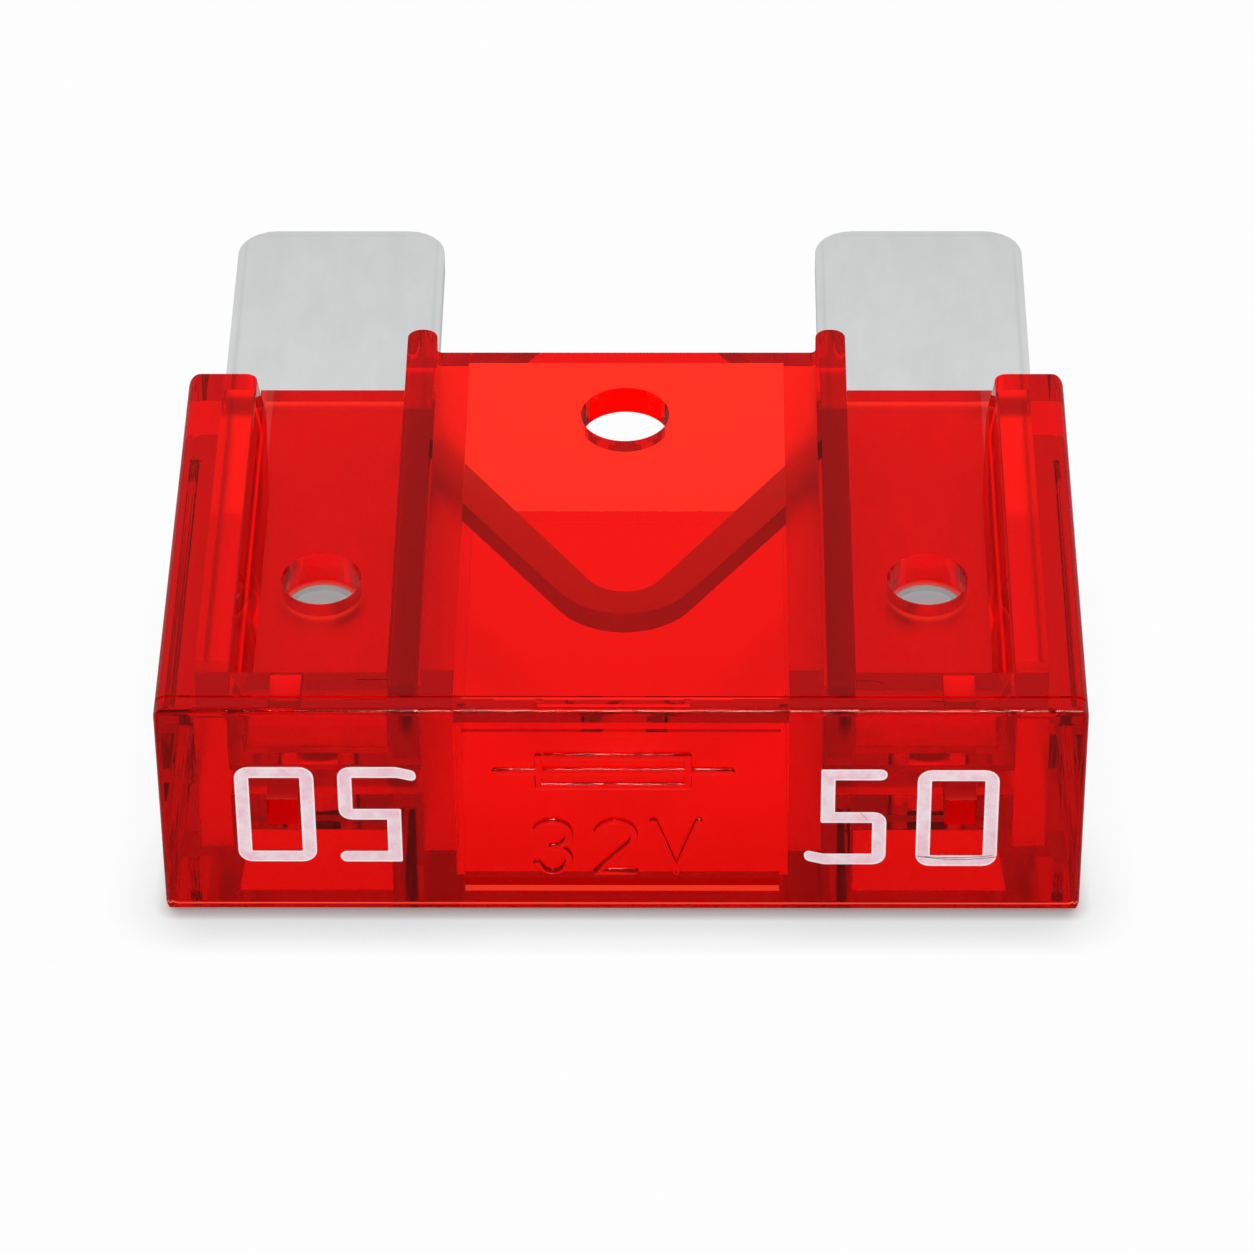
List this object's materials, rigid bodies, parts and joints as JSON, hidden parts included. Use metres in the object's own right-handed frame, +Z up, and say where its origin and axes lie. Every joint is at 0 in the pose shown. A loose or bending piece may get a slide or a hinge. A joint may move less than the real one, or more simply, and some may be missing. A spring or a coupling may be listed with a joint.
{
  "type": "automotive blade fuse",
  "caption": "Large flat fuse: red see-through moulded housing with stepped ribs, pockets and an open chamber round one stamped metal element with two blades and a V link.",
  "frame": {"origin": "middle of the whole length and width, on the surface that the broad face rests on", "axes": "+X across the head, +Y from the head face towards the blade tips, +Z up through the thickness"},
  "size_m": [0.0292, 0.0312, 0.0083],
  "materials": {
    "housing_plastic": "clear red moulded plastic, glossy",
    "element_metal": "satin grey zinc alloy sheet"
  },
  "bodies": {
    "root": {"housing": "housing_plastic", "fuse_element": "element_metal"}
  },
  "joints": []
}
